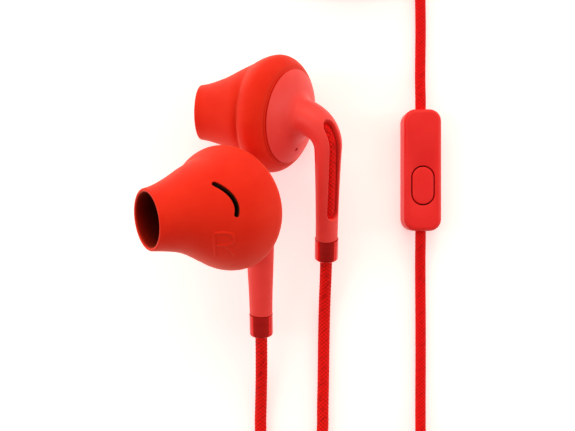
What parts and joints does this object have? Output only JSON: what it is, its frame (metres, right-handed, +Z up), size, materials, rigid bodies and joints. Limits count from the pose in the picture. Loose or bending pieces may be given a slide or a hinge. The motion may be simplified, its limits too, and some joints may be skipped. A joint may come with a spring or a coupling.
{
  "type": "wired earphones",
  "caption": "Wired in-ear earphones with soft covers, slotted stems and braided cords, an inline remote with a button, a splitter and a 3.5 mm plug.",
  "frame": {"origin": "on the surface that everything lies on, below the middle of the two earbuds", "axes": "+Z up from that surface, +Y from the earbuds' cord ends up along the cords towards the plug end, +X across"},
  "size_m": [0.0586, 0.1317, 0.0267],
  "materials": {
    "silicone": "soft matte red silicone",
    "shell_plastic": "satin coral red",
    "red_metal": "glossy deep red anodised",
    "branch_braid": "braided, bright red with darker flecks",
    "main_braid": "braided, bright red",
    "remote_plastic": "satin red",
    "plug_relief": "matte red",
    "gold": "polished gold plate",
    "black_plastic": "matte black",
    "steel": "brushed",
    "magnet": "nickel plate",
    "copper": "enamelled copper wire",
    "film": "thin clear film",
    "circuit_board": "solder mask green"
  },
  "bodies": {
    "earphones": {"right_front_shell": "black_plastic", "right_front_grille": "steel", "right_rear_shell": "shell_plastic", "right_collar": "red_metal", "right_stem_cord": "branch_braid", "right_magnet_cup": "steel", "right_magnet": "magnet", "right_top_plate": "steel", "right_driver_frame": "black_plastic", "right_driver_board": "circuit_board", "left_front_shell": "black_plastic", "left_front_grille": "steel", "left_rear_shell": "shell_plastic", "left_collar": "red_metal", "left_stem_cord": "branch_braid", "left_magnet_cup": "steel", "left_magnet": "magnet", "left_top_plate": "steel", "left_driver_frame": "black_plastic", "left_driver_board": "circuit_board", "remote_rear_shell": "remote_plastic", "remote_front_shell": "remote_plastic", "remote_circuit_board": "circuit_board", "remote_switch": "black_plastic", "remote_microphone": "steel", "splitter_lower_shell": "remote_plastic", "splitter_upper_shell": "remote_plastic", "plug_strain_relief": "plug_relief", "plug_grip": "red_metal", "plug_sleeve": "gold", "plug_insulator_1": "black_plastic", "plug_ring_1": "gold", "plug_insulator_2": "black_plastic", "plug_ring_2": "gold", "plug_insulator_3": "black_plastic", "plug_tip": "gold", "right_cord_upper": "branch_braid", "right_cord_lower": "branch_braid", "left_cord_upper": "branch_braid", "left_cord_lower": "branch_braid", "main_cord_lower": "main_braid", "main_cord_upper": "main_braid", "left_cord_coil": "branch_braid", "right_cord_coil": "branch_braid", "main_cord_coil": "main_braid"},
    "right_cover": {"right_silicone_cover": "silicone"},
    "left_cover": {"left_silicone_cover": "silicone"},
    "right_diaphragm": {"right_diaphragm": "film", "right_voice_coil": "copper"},
    "left_diaphragm": {"left_diaphragm": "film", "left_voice_coil": "copper"},
    "button": {"remote_button": "remote_plastic"}
  },
  "joints": [
    {"name": "right_cover_pull", "type": "slide", "parent": "earphones", "child": "right_cover", "axis": [-0.497, -0.189, 0.8469], "range_m": [0, 0.012]},
    {"name": "left_cover_pull", "type": "slide", "parent": "earphones", "child": "left_cover", "axis": [-0.8483, 0.1931, -0.4931], "range_m": [0, 0.012]},
    {"name": "right_diaphragm_travel", "type": "slide", "parent": "earphones", "child": "right_diaphragm", "axis": [-0.497, -0.189, 0.8469], "range_m": [-0.0002, 0.0002], "stiffness_N_per_m": 100},
    {"name": "left_diaphragm_travel", "type": "slide", "parent": "earphones", "child": "left_diaphragm", "axis": [-0.8483, 0.1931, -0.4931], "range_m": [-0.0002, 0.0002], "stiffness_N_per_m": 100},
    {"name": "button_press", "type": "slide", "parent": "earphones", "child": "button", "axis": [0, 0, -1], "range_m": [0, 0.00025], "stiffness_N_per_m": 400}
  ]
}
